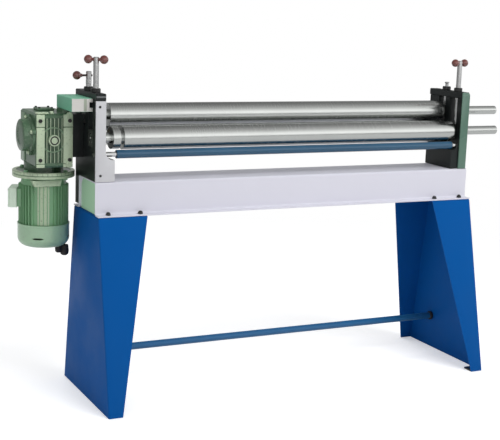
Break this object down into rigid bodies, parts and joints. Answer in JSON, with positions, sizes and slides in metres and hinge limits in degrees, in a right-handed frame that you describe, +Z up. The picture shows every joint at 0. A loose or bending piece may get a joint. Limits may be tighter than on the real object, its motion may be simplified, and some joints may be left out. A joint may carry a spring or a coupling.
{
  "type": "plate bending machine",
  "caption": "Three-roll plate bending machine on a bench with blue folded legs, a green worm gearbox and a vertical motor.",
  "frame": {"origin": "centre of the machine's footprint, on the floor", "axes": "+X along the rolls towards the free shaft ends, -X towards the motor; +Y to the back, away from the operator; +Z up"},
  "size_m": [1.8758, 0.517, 1.135],
  "materials": {
    "bench_white": "satin white paint",
    "panel_grey_green": "satin grey-green paint",
    "leg_blue": "satin blue paint",
    "brace_blue": "satin blue paint",
    "frame_black": "semi-gloss black paint",
    "plate_grey": "satin light grey paint",
    "plate_green": "semi-gloss dark green paint",
    "bracket_green": "satin green paint",
    "machine_green": "gloss green paint on castings",
    "roll_steel": "fine ground steel",
    "cast_iron": "machined cast iron",
    "bronze": "machined bronze",
    "screw_steel": "bright turned steel",
    "black_steel": "blackened steel",
    "knob_red": "gloss red-brown plastic",
    "rod_blue": "gloss blue paint",
    "lamination": "stacked steel laminations",
    "fan_black": "matt black plastic"
  },
  "bodies": {
    "machine": {"bench_beam": "bench_white", "left_end_panel": "panel_grey_green", "right_end_panel": "panel_grey_green", "left_leg": "leg_blue", "right_leg": "leg_blue", "left_foot_plate": "black_steel", "right_foot_plate": "black_steel", "left_bench_bolt_1": "black_steel", "left_bench_bolt_2": "black_steel", "right_bench_bolt_1": "black_steel", "right_bench_bolt_2": "black_steel", "brace_nut_left": "black_steel", "brace_nut_right": "black_steel", "brace_tube": "brace_blue", "left_frame": "frame_black", "right_frame": "frame_black", "left_front_plate": "plate_grey", "right_front_plate": "plate_green", "left_cap": "frame_black", "right_cap": "frame_black", "left_front_lock_nut": "black_steel", "left_rear_lock_nut": "black_steel", "right_front_lock_nut": "black_steel", "right_rear_lock_nut": "black_steel", "left_rear_bush": "bronze", "right_rear_bush": "bronze", "tie_rod": "rod_blue", "gearbox_housing": "machine_green", "gearbox_side_cover": "machine_green", "gearbox_worm_cover": "machine_green", "gearbox_oil_plug": "machine_green", "gearbox_adapter": "frame_black", "torque_bracket": "bracket_green", "motor_flange_shield": "machine_green", "motor_body": "machine_green", "motor_rear_shield": "machine_green", "motor_fan_cowl": "machine_green", "terminal_box": "machine_green", "terminal_box_lid": "machine_green", "cable_gland": "black_steel"},
    "front_carriage": {"left_front_block": "cast_iron", "right_front_block": "cast_iron"},
    "front_roll": {"front_roll": "roll_steel"},
    "left_front_screw": {"left_front_screw": "screw_steel", "left_front_screw_knob_1": "knob_red", "left_front_screw_knob_2": "knob_red"},
    "right_front_screw": {"right_front_screw": "screw_steel", "right_front_screw_knob_1": "knob_red", "right_front_screw_knob_2": "knob_red"},
    "upper_carriage": {"left_upper_block": "cast_iron", "right_upper_block": "cast_iron"},
    "upper_roll": {"upper_roll": "roll_steel"},
    "left_rear_screw": {"left_rear_screw": "screw_steel", "left_rear_screw_knob_1": "knob_red"},
    "right_rear_screw": {"right_rear_screw": "screw_steel"},
    "driven_roll": {"rear_roll": "roll_steel", "worm_wheel": "bronze"},
    "motor_shaft": {"worm_shaft": "screw_steel", "motor_rotor": "lamination", "motor_fan": "fan_black"}
  },
  "joints": [
    {"name": "front_lift", "type": "slide", "parent": "machine", "child": "front_carriage", "axis": [0, 0, 1], "range_m": [0, 0.02]},
    {"name": "front_roll_spin", "type": "hinge", "parent": "front_carriage", "child": "front_roll", "pos_m": [0.0034, -0.03, 0.87], "axis": [1, 0, 0], "continuous": true},
    {"name": "left_front_screw_turn", "type": "hinge", "parent": "front_carriage", "child": "left_front_screw", "pos_m": [-0.7021, -0.03, 1.0163], "axis": [0, 0, 1], "range_deg": [0, 1800]},
    {"name": "right_front_screw_turn", "type": "hinge", "parent": "front_carriage", "child": "right_front_screw", "pos_m": [0.7089, -0.03, 1.0163], "axis": [0, 0, 1], "range_deg": [0, 1800]},
    {"name": "upper_lift", "type": "slide", "parent": "machine", "child": "upper_carriage", "axis": [0, 0, 1], "range_m": [-0.0085, 0.01]},
    {"name": "upper_roll_spin", "type": "hinge", "parent": "upper_carriage", "child": "upper_roll", "pos_m": [0.0034, 0.0425, 0.938], "axis": [1, 0, 0], "continuous": true},
    {"name": "left_rear_screw_turn", "type": "hinge", "parent": "upper_carriage", "child": "left_rear_screw", "pos_m": [-0.7021, 0.0425, 1.0163], "axis": [0, 0, 1], "range_deg": [-765, 900]},
    {"name": "right_rear_screw_turn", "type": "hinge", "parent": "upper_carriage", "child": "right_rear_screw", "pos_m": [0.7089, 0.0425, 1.0163], "axis": [0, 0, 1], "range_deg": [-765, 900]},
    {"name": "driven_roll_spin", "type": "hinge", "parent": "machine", "child": "driven_roll", "pos_m": [0.0034, 0.0925, 0.87], "axis": [1, 0, 0], "continuous": true},
    {"name": "motor_shaft_spin", "type": "hinge", "parent": "machine", "child": "motor_shaft", "pos_m": [-0.8184, 0.1555, 0.87], "axis": [0, 0, 1], "continuous": true}
  ],
  "couplings": [
    {"joint": "left_front_screw_turn", "follows": "front_lift", "rad_per_m": 1570.8},
    {"joint": "right_front_screw_turn", "follows": "front_lift", "rad_per_m": 1570.8},
    {"joint": "left_rear_screw_turn", "follows": "upper_lift", "rad_per_m": 1570.8},
    {"joint": "right_rear_screw_turn", "follows": "upper_lift", "rad_per_m": 1570.8},
    {"joint": "motor_shaft_spin", "follows": "driven_roll_spin", "ratio": -40}
  ]
}
